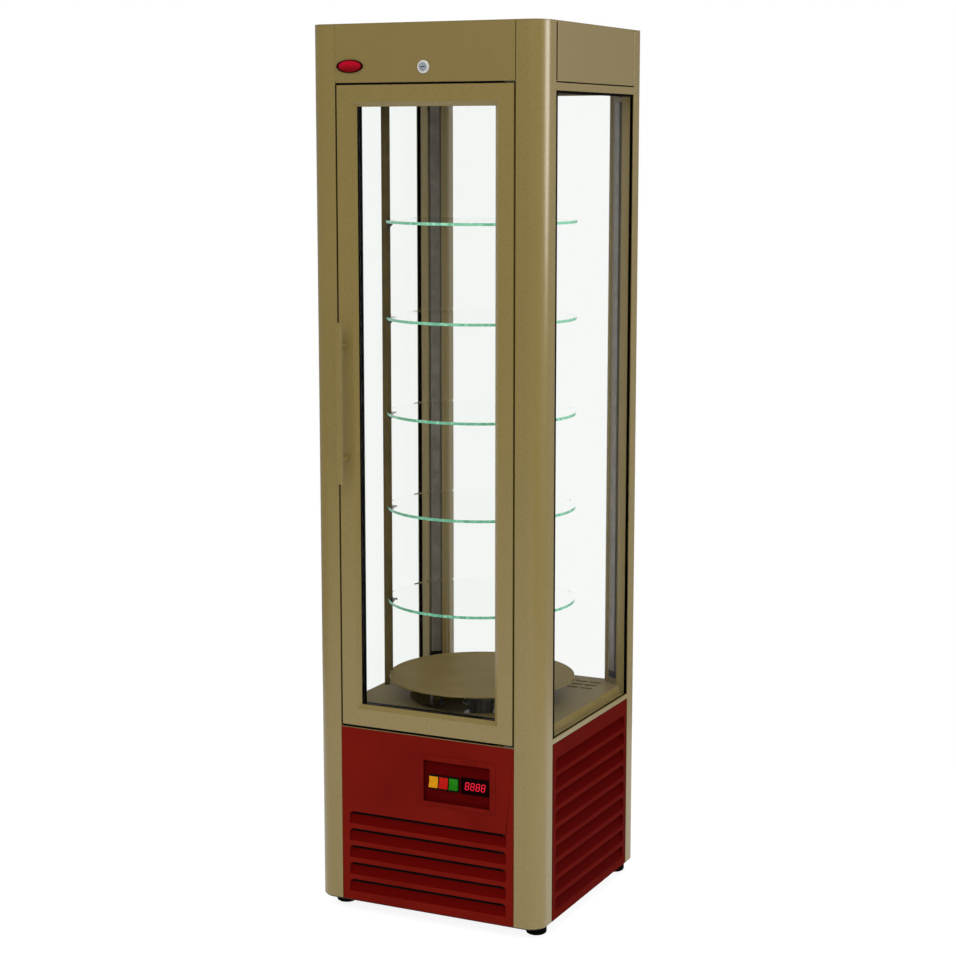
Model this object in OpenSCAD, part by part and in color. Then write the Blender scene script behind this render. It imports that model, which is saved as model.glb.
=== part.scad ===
// Upright revolving pastry display case: four corner pillars, glazing on all sides, a hinged front
// door, a motor-driven carousel with five round glass shelves and a louvred machine compartment.
// Millimetres. Z is up and Z = 0 is the floor. The door faces -Y. X = 0 is the middle of the width,
// and Y = 0 is half way between the face of the handle and the back.

/* [Cabinet] */
// Width of the body
width = 525; // [505:5:545]
// Depth of the body, without the handle
depth = 535; // [515:5:555]
// Overall height from the floor
height = 1875; // [1850:5:1900]
// Gap between the floor and the base plate
foot_gap = 25; // [22:1:30]
// Radius of the outer corner of a pillar
corner_r = 36; // [30:1:36]
// Width of a pillar on the front and rear faces
pillar_w = 60; // [56:1:64]
// Width of a pillar on the side faces
pillar_d = 61; // [58:1:64]

/* [Levels] */
// Top of the red lower panels
panel_top = 410; // [405:1:412]
// Underside of the door
door_bottom = 416.5; // [415:0.5:418]
// Top of the door
door_top = 1753; // [1750:0.5:1754]
// Lower edge of the upper fascias
fascia_bottom = 1757.5; // [1757:0.5:1759]
// Top of the chamber floor
deck_top = 439; // [436:1:442]
// Underside of the chamber ceiling
ceiling_z = 1740; // [1738:1:1742]

/* [Door] */
// Gap between the door and each pillar
door_gap = 4; // [3.5:0.5:4.5]
// Thickness of the door frame
door_t = 24; // [24:1:26]
// Flat width of the door stiles and top rail
stile_flat = 34; // [32:1:36]
// Flat height of the bottom rail
bottom_flat = 36.5; // [34:0.5:38]
// Width of the bevel round the glass
bevel_w = 9; // [7:0.5:10]
// Depth of the bevel round the glass
bevel_d = 8; // [7:0.5:8]

/* [Handle] */
// Reach of the handle in front of the door
handle_reach = 36; // [30:1:42]
// Width of the handle bar
handle_w = 13.5; // [12:0.5:15]
// Length of the handle bar
handle_len = 335; // [300:5:360]
// Lower end of the handle bar
handle_z = 938; // [900:1:980]

/* [Carousel] */
// Radius of the turntable disc and of the shelves
shelf_r = 203; // [195:1:204]
// Thickness of a glass shelf
shelf_t = 6; // [5:0.5:8]
// Number of glass shelves
shelf_count = 5; // [3:1:5]
// Height of the middle of the lowest shelf
shelf_low = 656.8; // [650:0.2:670]
// Distance between shelves
shelf_pitch = 204.2; // [190:0.2:204.2]
// Top of the turntable disc
disc_top = 486.3; // [484:0.1:490]
// Thickness of the turntable disc
disc_t = 3; // [2:0.5:4]
// Angle of the first upright, counterclockwise from +X
upright_angle = 208; // [200:1:214]

/* [Lower panels] */
// Length of a louvre on the front and rear panels
louvre_len = 370; // [340:2:380]
// Height of a louvre
louvre_h = 27; // [22:1:28]
// Distance between louvres
louvre_pitch = 37.7; // [36:0.1:38]
// Depth of a louvre at its top edge
louvre_depth = 10; // [8:0.5:12]
// Foot of the lowest louvre
louvre_low = 47.3; // [45:0.1:50]
// Height of the air slot at the head of a louvre
louvre_slot = 4; // [3:0.5:6]
// Rounding of the louvre ends
louvre_r = 10; // [6:1:12]

/* [Hidden] */
$fn = 64;

// Faces and middle of the cabinet
half_w = width / 2;
front_y = handle_reach / 2 - depth / 2;
back_y = front_y + depth;
mid_y = (front_y + back_y) / 2;
// Half lengths of the stretches between two pillars
front_half = half_w - pillar_w;
side_half = depth / 2 - pillar_d;

// Sheets and plates
sheet = 1.5;
base_t = 3;
roof_t = 2;
body_bottom = foot_gap + base_t;
body_top = height - roof_t;
seam = 0.7;
// Shadow gaps beside the upper housing and the side panels
front_seam = 1.2;
side_seam = 6;
panel_seam = 3;
shadow_gap = 2.6;

// Pillar section: U runs inward along the front or rear face, V inward along the side face
pillar_v = 36;
pillar_u = 28;
pillar_wall = 3;
// Glass channel, measured inward from the outer face
channel_out = 2.5;
channel_in = 11;
channel_deep = 12;
pane_t = 5;
seal_t = (channel_in - channel_out - pane_t) / 2;
pane_bite = 10;
rail_in = 21;
rail_ledge = 32;
rail_bottom = panel_top;
rail_top = 422;
pane_low = 416;
pane_high = 1751;

// Door
door_half = front_half - door_gap;
open_half = door_half - stile_flat - bevel_w;
open_low = door_bottom + bottom_flat + bevel_w;
open_high = door_top - stile_flat - bevel_w;
pocket = 12;
glass_t = 4;
bead_t = 5;
gasket_t = 6;
landing_v = door_t + gasket_t;
landing_t = 5;
hinge_inset = 8;
hinge_x = door_half - hinge_inset;
hinge_y = front_y + hinge_inset;
hinge_pin_r = 4;
pin_gap = 0.05;
bore_deep = 20;

// Handle
handle_x = -181.5;
bar_t = 8;
post_r = 5;
post_z = [989, 1225];

// Lock
lock_z = 1786.9;
barrel_r = 11;
plug_r = 8.5;
cam_reach = 43.5;
cam_w = 14;
cam_v = 13.5;
cam_t = 3;

// Badge
badge_x = -167;
badge_z = 1790.4;
badge_w = 61;
badge_h = 26.5;

// Controls
bezel_x = [-16.5, 161];
bezel_z = [263, 374];
recess_x = [-6.4, 147.8];
recess_z = [272.5, 361];
bezel_proud = 1;
recess_v = 8;
switch_x = 39;
switch_z = 314.1;
switch_pitch = 23.3;
switch_w = 23.1;
switch_h = 31;
housing_w = 22.2;
housing_h = 28;
rocker_w = 20;
rocker_h = 23.6;
rocker_tilt = 8;
pivot_v = 9;
pivot_r = 1.5;
display_x = 110.9;
display_z = 314.7;
display_w = 65.6;
display_h = 36;
display_body = [60, 31.5];

// Chamber floor and carousel
deck_low = rail_top;
well_r = 157;
tub_t = 3;
tub_floor = 392;
shaft_r = 10;
hub_r = 60;
hub_t = 6;
upright_in = 200;
upright_out = 212;
upright_w = 18;
upright_low = 465;
upright_high = 1725;
fin_in = 193.5;
slot_web = 0.4;
slot_pitch = 68;
spider_t = 4;
top_pin_r = 8;
motor_shaft_r = 5;

// Machine compartment
foot_x = 227;
foot_front_v = 61.5;
foot_rear_v = 40;
stem_r = 4;
fan_hole = [-42, 100];
fan_hole_r = 44;
grille_x = 104;
grille_y = 143;
duct = [[100, 138], [205, 214]];
housing_low = 300;
housing_top = tub_floor - 4;

function shelf_z(k) = shelf_low + shelf_pitch * k;
function upright_angles() = [for (i = [0:2]) upright_angle + 120 * i];
function oval(w, h) = [for (a = [0:6:354]) [w / 2 * cos(a), h / 2 * sin(a)]];

// Plan of the chamber between the pillars, side_in and rear_in measured from the outer faces
function half_plan(side_in, front_in, rear_in, gap) = [
    [front_half - gap, front_y + front_in],
    [front_half - gap, front_y + pillar_v + gap],
    [half_w - pillar_u - gap, front_y + pillar_d + gap],
    [half_w - side_in, front_y + pillar_d + gap],
    [half_w - side_in, back_y - pillar_d - gap],
    [half_w - pillar_u - gap, back_y - pillar_d - gap],
    [front_half - gap, back_y - pillar_v - gap],
    [front_half - gap, back_y - rear_in]];

module chamber_plan(side_in, front_in, rear_in, gap) {
    right = half_plan(side_in, front_in, rear_in, gap);
    polygon(concat(right, [for (i = [len(right) - 1:-1:0]) [-right[i][0], right[i][1]]]));
}

// Places a part drawn in the U, V axes of a pillar at one corner of the cabinet
module at_corner(right, rear) {
    translate([right ? half_w : -half_w, rear ? back_y : front_y, 0])
        mirror_if([1, 0, 0], right) mirror_if([0, 1, 0], rear) children();
}

module mirror_if(axis, on) {
    if (on) mirror(axis) children();
    else children();
}

// Places a part drawn with +Y pointing inward from an outer face; turn is 0 on the front face
module on_face(turn) {
    translate([turn == 90 ? half_w : turn == 270 ? -half_w : 0,
        turn == 0 ? front_y : turn == 180 ? back_y : mid_y, 0])
        rotate([0, 0, turn]) children();
}

// Box between two corners
module box(low, high) {
    translate(low) cube(high - low);
}

// Flat ring in the XZ plane, from depth v0 to v1, with its hole
module ring_xz(x_out, z_out, x_in, z_in, v0, v1) {
    difference() {
        box([-x_out, v0, z_out[0]], [x_out, v1, z_out[1]]);
        box([-x_in, v0 - 1, z_in[0]], [x_in, v1 + 1, z_in[1]]);
    }
}

// Round-cornered rectangle centred on X, from y = 0 up
module rounded_rect(w, h, r) {
    translate([-w / 2 + r, 0]) square([w - 2 * r, h]);
    translate([-w / 2, r]) square([w, h - 2 * r]);
    for (x = [-w / 2 + r, w / 2 - r], y = [r, h - r]) translate([x, y]) circle(r);
}

// Cylinder along Y at a place on the front
module cyl_y(r, v0, v1) {
    translate([0, v0, 0]) rotate([-90, 0, 0]) cylinder(r = r, h = v1 - v0);
}

// Frame and feet

module rounded_plan(inset) {
    translate([0, mid_y - depth / 2 + inset])
        rounded_rect(width - 2 * inset, depth - 2 * inset, corner_r - inset);
}

module foot_place(right, rear) {
    at_corner(right, rear) translate([half_w - foot_x, rear ? foot_rear_v : foot_front_v, 0])
        children();
}

module base_frame() color("#1c1c1e") {
    rail_h = 20;
    rail_x = front_half - 4.5;
    difference() {
        union() {
            translate([0, 0, foot_gap]) linear_extrude(base_t) rounded_plan(3);
            for (turn = [0, 180]) on_face(turn)
                box([-rail_x, 16, body_bottom - 1], [rail_x, 36, body_bottom + rail_h]);
            for (side = [-1, 1])
                box([side * (rail_x - 10) - 10, front_y + 30, body_bottom - 1],
                    [side * (rail_x - 10) + 10, back_y - 30, body_bottom + rail_h]);
        }
        for (right = [false, true], rear = [false, true]) foot_place(right, rear)
            translate([0, 0, foot_gap - 5]) cylinder(r = stem_r + pin_gap, h = 20);
    }
}

module levelling_foot(right, rear) color("#111113") foot_place(right, rear) {
    rotate_extrude() polygon([[0, 0], [18, 0], [21, 2], [22, 5], [22, 13], [20, 16], [0, 16]]);
    translate([0, 0, 16]) cylinder(r = 8, h = 5, $fn = 6);
    translate([0, 0, 10]) cylinder(r = stem_r, h = 46);
}

// Corner pillar, an extrusion with a rounded outer corner, glass channels and a hollow core
module pillar_section(rear) {
    lip = 2;
    diag = [pillar_w - pillar_u, pillar_d - pillar_v];
    diag_len = norm(diag);
    inset = pillar_wall * diag_len / diag[0];
    function diag_v(u) = pillar_v + (pillar_w - u) * diag[1] / diag[0] - inset;
    core_v = pillar_d - pillar_wall;
    core_u = pillar_w - pillar_wall;
    difference() {
        union() {
            polygon([[corner_r, 0], [pillar_w, 0], [pillar_w, pillar_v], [pillar_u, pillar_d],
                [0, pillar_d], [0, corner_r], [corner_r, corner_r]]);
            intersection() {
                translate([corner_r, corner_r]) circle(corner_r, $fn = 96);
                square(corner_r);
            }
        }
        intersection() {
            translate([corner_r, corner_r]) circle(corner_r - pillar_wall, $fn = 96);
            square(corner_r);
        }
        polygon([[corner_r, pillar_wall], [pillar_w - channel_deep - lip, pillar_wall],
            [pillar_w - channel_deep - lip, channel_in + lip], [core_u, channel_in + lip],
            [core_u, diag_v(core_u)],
            [pillar_w - (core_v + inset - pillar_v) * diag[0] / diag[1], core_v],
            [channel_in + lip, core_v], [channel_in + lip, pillar_d - channel_deep - lip],
            [pillar_wall, pillar_d - channel_deep - lip], [pillar_wall, corner_r],
            [corner_r, corner_r]]);
        translate([channel_out, pillar_d - channel_deep])
            square([channel_in - channel_out, channel_deep + 1]);
        if (rear) translate([pillar_w - channel_deep, channel_out])
            square([channel_deep + 1, channel_in - channel_out]);
    }
}

module pillar(right, rear) color("#7d6c3f") at_corner(right, rear)
    translate([0, 0, body_bottom]) linear_extrude(body_top - body_bottom) pillar_section(rear);

// Slim lamps with flat diffusers on the inner faces of the two rear pillars
module lamp_strips() color("#8f949a") {
    lamp_shift = 3.5;
    run = [pillar_u - pillar_w, pillar_d - pillar_v];
    turn = atan2(run[1], run[0]);
    for (right = [false, true]) at_corner(right, true)
        translate([(pillar_w + pillar_u) / 2, (pillar_v + pillar_d) / 2, deck_top + 16])
            rotate([0, 0, turn]) translate([lamp_shift, 0]) linear_extrude(ceiling_z - deck_top - 32)
                polygon([[-12, 0], [12, 0], [12, -2], [10.5, -2], [10.5, -3.5], [-10.5, -3.5],
                    [-10.5, -2], [-12, -2]]);
}

// Channels that hold the panes at the foot and the head, on the sides and the rear
module glazing_rail(half_len) {
    rebate = 3;
    rotate([90, 0, 90]) translate([0, 0, -half_len]) linear_extrude(2 * half_len)
        polygon([[rebate, rail_bottom], [rail_ledge, rail_bottom], [rail_ledge, rail_top],
            [channel_in, rail_top], [channel_in, pane_low - 1], [channel_out, pane_low - 1],
            [channel_out, rail_top], [0, rail_top], [0, rail_bottom + 1], [rebate, rail_bottom + 1]]);
    rotate([90, 0, 90]) translate([0, 0, -half_len]) linear_extrude(2 * half_len)
        polygon([[0, ceiling_z - 0.5], [channel_out, ceiling_z - 0.5], [channel_out, pane_high + 0.5],
            [channel_in, pane_high + 0.5], [channel_in, ceiling_z - 0.5], [rail_in, ceiling_z - 0.5],
            [rail_in, fascia_bottom], [rebate, fascia_bottom], [rebate, fascia_bottom - shadow_gap],
            [0, fascia_bottom - shadow_gap]]);
}

// Bead that covers an upright edge of the rear pane inside the chamber
module rear_bead(side) {
    bead_w = 8;
    translate([0, 0, deck_top]) linear_extrude(ceiling_z - 0.5 - deck_top)
        polygon([for (p = [[0, channel_in], [bead_w, channel_in], [bead_w, pillar_v - 3],
            [bead_w - 3, pillar_v], [0, pillar_v]]) [side * (front_half - p[0]), p[1]]]);
}

module glazing_rails() color("#8a7a4c") {
    for (turn = [90, 270]) on_face(turn) glazing_rail(side_half);
    on_face(180) {
        glazing_rail(front_half);
        for (side = [-1, 1]) rear_bead(side);
    }
}

// Frame behind the door, which the gasket closes on, with a sill over the machine compartment
module door_landing() color("#6e5f38") on_face(0) {
    ring_xz(front_half, [rail_bottom, fascia_bottom], door_half - 22, [deck_top + 3, ceiling_z - 2],
        landing_v, landing_v + landing_t);
    box([-front_half, 0.5, panel_top], [front_half, landing_v + 1, panel_top + 1]);
}

// Upper housing

module fascia_shell(half_len, gap, flange) {
    box([gap - half_len, 0, fascia_bottom], [half_len - gap, 2, body_top]);
    for (z = [fascia_bottom, body_top - 2])
        box([-half_len, 1.5, z], [half_len, flange, z + 2]);
}

module front_fascia() color("#7a6838") on_face(0) difference() {
    fascia_shell(front_half, front_seam, landing_v);
    translate([0, 0, lock_z]) cyl_y(barrel_r + 0.2, -1, 5);
    box([-12, cam_v - 2, fascia_bottom - 1], [40, cam_v + cam_t + 2, fascia_bottom + 3]);
}

module side_fascias() color("#7a6838") {
    for (turn = [90, 270]) on_face(turn) fascia_shell(side_half, side_seam, rail_in);
    on_face(180) fascia_shell(front_half, front_seam, rail_in);
}

module roof_panel() color("#7a6838") translate([0, 0, body_top]) linear_extrude(roof_t)
    rounded_plan(0);

module ceiling_panel() color("#6f6550") difference() {
    union() {
        translate([0, 0, ceiling_z]) linear_extrude(4)
            chamber_plan(rail_in, landing_v + landing_t, rail_in, 0.5);
        translate([0, mid_y, ceiling_z + 3]) cylinder(r = 22, h = 13);
    }
    translate([0, mid_y, ceiling_z - 1]) cylinder(r = top_pin_r + pin_gap, h = 30);
}

// Glazing

module side_pane() {
    reach = depth / 2 - pillar_d + pane_bite;
    box([-reach, channel_out + seal_t, pane_low], [reach, channel_in - seal_t, pane_high]);
}

module rear_glass() color("#cfe8dc", 0.35) on_face(180) {
    reach = front_half + pane_bite;
    box([-reach, channel_out + seal_t, pane_low], [reach, channel_in - seal_t, pane_high]);
}

module left_glass() color("#cfe8dc", 0.35) on_face(270) side_pane();
module right_glass() color("#cfe8dc", 0.35) on_face(90) side_pane();

// Black strips on both faces of each pane, sunk below the lower rail's top. Each edge but the
// foot shows a chosen width of them, and a width below zero hides them in the channel.
module seal_pair(half_len, show_left, show_right, show_head) {
    edge = half_len + pane_bite;
    sunk = 2.5;
    for (v = [channel_out, channel_in - seal_t]) difference() {
        box([-edge, v, pane_low], [edge, v + seal_t, pane_high]);
        box([show_left - half_len, v - 1, rail_top - sunk],
            [half_len - show_right, v + seal_t + 1, ceiling_z - 0.5 - show_head]);
    }
}

// The front edges of the side panes have wider strips, where the door's gasket is near
module glazing_seals() color("#151515") {
    narrow = 1;
    hidden = -2;
    on_face(90) seal_pair(side_half, 13, hidden, 5);
    on_face(270) seal_pair(side_half, narrow, 16, 5);
    on_face(180) seal_pair(front_half, narrow, narrow, -1);
}

// Door, drawn on the front face

module door_frame() color("#86764a") on_face(0) {
    difference() {
        box([-door_half, 0, door_bottom], [door_half, door_t, door_top]);
        box([-open_half, -1, open_low], [open_half, door_t + 1, open_high]);
        box([-open_half - pocket, bevel_d, open_low - pocket],
            [open_half + pocket, door_t + 1, open_high + pocket]);
        intersection() {
            translate([0, 0, door_bottom]) linear_extrude(door_top - door_bottom)
                polygon([[-open_half - 2 * bevel_w, -bevel_d], [open_half + 2 * bevel_w, -bevel_d],
                    [open_half, bevel_d], [-open_half, bevel_d]]);
            rotate([90, 0, 90]) translate([0, 0, -door_half]) linear_extrude(2 * door_half)
                polygon([[-bevel_d, open_low - 2 * bevel_w], [-bevel_d, open_high + 2 * bevel_w],
                    [bevel_d, open_high], [bevel_d, open_low]]);
        }
        for (z = [door_bottom - 1, door_top - bore_deep])
            translate([hinge_x, hinge_inset, z]) cylinder(r = hinge_pin_r + pin_gap, h = bore_deep + 1);
        box([-12, cam_v - 1.5, door_top - 14], [36, cam_v + cam_t + 1.5, door_top + 1]);
    }
}

// Two panes of the sealed glass unit
module door_glass() color("#cfe8dc", 0.35) on_face(0) {
    edge = pocket - 1;
    for (v = [bevel_d, door_t - glass_t])
        box([-open_half - edge, v, open_low - edge], [open_half + edge, v + glass_t, open_high + edge]);
}

module door_spacer() color("#101012") on_face(0) {
    edge = pocket - 1;
    ring_xz(open_half + edge, [open_low - edge, open_high + edge], open_half, [open_low, open_high],
        bevel_d + glass_t, door_t - glass_t);
}

module door_bead() color("#141416") on_face(0) {
    edge = pocket + 6;
    ring_xz(open_half + edge, [open_low - edge, open_high + edge], open_half, [open_low, open_high],
        door_t, door_t + bead_t);
}

// Soft magnetic gasket, clear of the hinge line on the hinge side
module door_gasket() color("#18181a") on_face(0) {
    outer = hinge_inset + 0.5;
    inner = outer + 13.5;
    ring_xz(door_half - outer, [door_bottom + outer, door_top - outer],
        door_half - inner, [door_bottom + inner, door_top - inner], door_t, door_t + gasket_t);
}

module door_handle() color("#8d7d50") on_face(0) translate([handle_x, 0, 0]) {
    translate([0, -handle_reach, handle_z]) linear_extrude(handle_len)
        rounded_rect(handle_w, bar_t, 2.5, $fn = 32);
    for (z = post_z) translate([0, 0, z]) cyl_y(post_r, bar_t - handle_reach - 1, 0);
}

// Hinge plates above and below the door, with their pins and a bearing collar
module door_hinges() color("#55575b") {
    plate_t = 3.5;
    inner_x = door_half - 20;
    plate_low = [inner_x, front_y + 1, 0];
    plate_high = [front_half - 0.3, front_y + landing_v, plate_t];
    translate([0, 0, door_bottom - 2 - plate_t]) box(plate_low, plate_high);
    translate([hinge_x, hinge_y, door_bottom - 3]) cylinder(r = 7, h = 3);
    translate([hinge_x, hinge_y, door_bottom - 3]) cylinder(r = hinge_pin_r, h = bore_deep + 2);
    translate([0, 0, fascia_bottom - plate_t]) box(plate_low, plate_high);
    translate([hinge_x, hinge_y, door_top - bore_deep + 1.5])
        cylinder(r = hinge_pin_r, h = fascia_bottom - door_top + bore_deep - 2.5);
}

// Lock in the front fascia; its cam hangs over the door and turns down into a slot

module lock_barrel() color("#c9ccd0") on_face(0) translate([0, 0, lock_z]) difference() {
    union() {
        translate([0, -3, 0]) rotate([-90, 0, 0]) cylinder(r1 = 12, r2 = 13.5, h = 3);
        cyl_y(barrel_r, -1, cam_v - 1);
        translate([0, 2, 0]) rotate([-90, 0, 0]) cylinder(r = 15, h = 4, $fn = 6);
    }
    cyl_y(plug_r + pin_gap, -5, cam_v + 1);
}

module lock_plug() color("#b4b7bb") on_face(0) translate([0, 0, lock_z]) difference() {
    union() {
        cyl_y(plug_r, -4, cam_v + cam_t);
        box([0, cam_v, -cam_w / 2], [cam_reach, cam_v + cam_t, cam_w / 2]);
    }
    box([-5, -5, -1.1], [5, 4, 1.1]);
}

// Blank oval badge with a raised rim
module badge_plate() color("#a3120f") on_face(0) translate([badge_x, 0, badge_z]) {
    rotate([90, 0, 0]) linear_extrude(1.6) polygon(oval(badge_w, badge_h));
    rotate([90, 0, 0]) linear_extrude(2.4) difference() {
        polygon(oval(badge_w, badge_h));
        polygon(oval(badge_w - 5, badge_h - 5));
    }
}

// Lower panels with pressed louvres, drawn with +Y inward

module louvre_plan(len, grow, v0, v1) {
    below = 2 * louvre_r;
    translate([0, v1, -below]) rotate([90, 0, 0]) linear_extrude(v1 - v0)
        rounded_rect(len + 2 * grow, below + louvre_h + grow, louvre_r + grow, $fn = 32);
}

module louvre_wedge(len, grow) {
    foot = -grow * louvre_h / louvre_depth;
    rotate([90, 0, 90]) translate([0, 0, -len / 2 - grow]) linear_extrude(len + 2 * grow)
        polygon(grow > 0
            ? [[0, foot], [louvre_depth + grow, louvre_h], [0, louvre_h]]
            : [[-1, 0], [0, 0], [louvre_depth, louvre_h], [-1, louvre_h]]);
}

module louvre(len, grow) {
    intersection() {
        louvre_wedge(len, grow);
        louvre_plan(len, grow, -2, louvre_depth + 4);
    }
}

// Panel whose louvres open at the head of each pressing, where air enters behind its lip
module louvred_panel(half_len, gap, len, first, last) {
    flange = 14;
    edge = half_len - gap;
    difference() {
        union() {
            box([-edge, 0, body_bottom], [edge, sheet, panel_top]);
            for (x = [-edge, edge - sheet])
                box([x, 0, body_bottom], [x + sheet, flange, panel_top]);
            for (k = [first:last]) translate([0, 0, louvre_low + louvre_pitch * k])
                louvre(len, sheet);
        }
        for (k = [first:last]) translate([0, 0, louvre_low + louvre_pitch * k]) {
            louvre(len, 0);
            box([louvre_r - len / 2, louvre_depth / 2, louvre_h - louvre_slot],
                [len / 2 - louvre_r, louvre_depth + 4, louvre_h]);
        }
    }
}

module front_panel() color("#66180f") on_face(0) difference() {
    louvred_panel(front_half, seam, louvre_len, 0, 4);
    box([bezel_x[0] + 3, -1, bezel_z[0] + 3], [bezel_x[1] - 3, 3, bezel_z[1] - 3]);
}

module left_panel() color("#5a120c") on_face(270)
    louvred_panel(side_half, panel_seam, louvre_len + 8, 0, 8);

module right_panel() color("#5a120c") on_face(90)
    louvred_panel(side_half, panel_seam, louvre_len + 8, 0, 8);

module rear_panel() color("#5a120c") on_face(180) difference() {
    louvred_panel(front_half, seam, louvre_len, 2, 7);
    translate([-150, 0, 76]) box([-26.5, -1, -13.5], [26.5, 3, 13.5]);
}

// Controls in the front panel

// Hole through the floor of the recess, a little larger than the body that snaps into it
module panel_hole(w, h) {
    fit = 0.1;
    box([-w / 2 - fit, 0, -h / 2 - fit], [w / 2 + fit, 20, h / 2 + fit]);
}

module control_bezel() color("#5c120c") on_face(0) difference() {
    union() {
        box([bezel_x[0], -bezel_proud, bezel_z[0]], [bezel_x[1], 0, bezel_z[1]]);
        box([bezel_x[0] + 3.3, -1, bezel_z[0] + 3.3], [bezel_x[1] - 3.3, recess_v + 2, bezel_z[1] - 3.3]);
    }
    box([recess_x[0], -3, recess_z[0]], [recess_x[1], recess_v, recess_z[1]]);
    for (k = [-1:1]) translate([switch_x + switch_pitch * k, 0, switch_z])
        panel_hole(housing_w, housing_h);
    translate([display_x, 0, display_z]) panel_hole(display_body[0], display_body[1]);
}

module switch_housings() color("#101010") on_face(0) for (k = [-1:1])
    translate([switch_x + switch_pitch * k, 0, switch_z]) difference() {
        union() {
            box([-switch_w / 2, recess_v - 3, -switch_h / 2], [switch_w / 2, recess_v, switch_h / 2]);
            box([-housing_w / 2, recess_v - 1, -housing_h / 2], [housing_w / 2, 30, housing_h / 2]);
        }
        box([-rocker_w / 2 - 0.2, 0, -13], [rocker_w / 2 + 0.2, 15, 13]);
        translate([-housing_w / 2 - 1, pivot_v, 0]) rotate([0, 90, 0])
            cylinder(r = pivot_r + pin_gap, h = housing_w + 2);
    }

// Rocker with a shallow dished face, tilted so that its foot stands out
module rocker(k, paint) color(paint) on_face(0)
    translate([switch_x + switch_pitch * k, pivot_v, switch_z]) rotate([-rocker_tilt, 0, 0]) {
        rotate([90, 0, 90]) translate([0, 0, -rocker_w / 2]) linear_extrude(rocker_w)
            polygon([[-7.5, rocker_h / 2], [-5.6, 0], [-7.5, -rocker_h / 2], [-2, -rocker_h / 2],
                [2.5, -5], [2.5, 5], [-2, rocker_h / 2]]);
        translate([-rocker_w / 2 - 0.8, 0, 0]) rotate([0, 90, 0])
            cylinder(r = pivot_r, h = rocker_w + 1.6);
    }

module yellow_switch() rocker(-1, "#e3b13a");
module red_switch() rocker(0, "#d02a1c");
module green_switch() rocker(1, "#2f9a2c");

module display() color("#0c0c0e") on_face(0) translate([display_x, 0, display_z]) difference() {
    union() {
        box([-display_w / 2, recess_v - 2, -display_h / 2], [display_w / 2, recess_v, display_h / 2]);
        box([-display_body[0] / 2, recess_v - 1, -display_body[1] / 2],
            [display_body[0] / 2, 40, display_body[1] / 2]);
    }
    box([-display_w / 2 + 4, recess_v - 3, -12], [display_w / 2 - 4, recess_v - 1, 12]);
}

// Chamber floor with a round well and its tub, which carries the drive
module deck_pan() color("#746a53") difference() {
    seam_w = 1;
    union() {
        translate([0, 0, deck_low]) linear_extrude(deck_top - deck_low)
            chamber_plan(rail_in, landing_v + landing_t, rail_in, 0.5);
        translate([0, mid_y, tub_floor - 4])
            cylinder(r = well_r + tub_t, h = deck_low - tub_floor + 5, $fn = 128);
    }
    translate([0, mid_y, tub_floor]) cylinder(r = well_r, h = 60, $fn = 128);
    translate([0, mid_y, tub_floor - 10]) cylinder(r = 22.1, h = 20);
    translate([fan_hole[0], mid_y + fan_hole[1], tub_floor - 10]) cylinder(r = fan_hole_r, h = 20);
    for (row = [0:2], col = [0:2])
        translate([grille_x + 33 * col, mid_y + grille_y + 27 * row, deck_low - 1]) cube([29, 12, 30]);
    box([-half_w, mid_y - seam_w / 2, deck_top - 0.8], [half_w, mid_y + seam_w / 2, deck_top + 1]);
}

// Fixed posts in the well with low-friction caps, just clear of the turntable
module glide_posts() color("#9a9078") for (a = [20, 160, 239, 297.5])
    translate([0, mid_y, 0]) rotate([0, 0, a]) translate([128, 0, tub_floor]) {
        post_h = disc_top - disc_t - tub_floor - 0.5;
        cylinder(r = 3.5, h = post_h);
        translate([0, 0, post_h - 5]) cylinder(r = 5.5, h = 5);
        cylinder(r = 9, h = 3);
    }

module bearing_block() color("#5b5e62") translate([0, mid_y, 0]) rotate_extrude()
    polygon([[shaft_r + pin_gap, 380], [22, 380], [22, tub_floor], [38, tub_floor],
        [38, tub_floor + 6], [27, tub_floor + 6], [24, 462], [shaft_r + pin_gap, 462]]);

module upright_notches(z0, z1) {
    for (a = upright_angles()) rotate([0, 0, a]) {
        box([upright_in - 1, -upright_w / 2 - 1, z0], [upright_out + 5, upright_w / 2 + 1, z1]);
        box([fin_in - 1, -2.5, z0], [upright_in, 2.5, z1]);
    }
}

module turntable_disc() color("#776b4c") translate([0, mid_y, 0]) difference() {
    translate([0, 0, disc_top - disc_t]) cylinder(r = shelf_r, h = disc_t, $fn = 180);
    upright_notches(disc_top - disc_t - 1, disc_top + 1);
}

module carousel_shaft() color("#8d9094") translate([0, mid_y, 0]) rotate_extrude()
    polygon([[0, 376], [shaft_r, 376], [shaft_r, 462.5], [20, 462.5],
        [20, disc_top - disc_t - hub_t], [hub_r, disc_top - disc_t - hub_t],
        [hub_r, disc_top - disc_t], [0, disc_top - disc_t]]);

module shaft_coupling() color("#6a6d71") translate([0, mid_y, 0]) {
    translate([0, 0, 371]) cylinder(r = 15, h = 5);
    translate([0, 0, 352]) cylinder(r = motor_shaft_r, h = 20);
}

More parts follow.
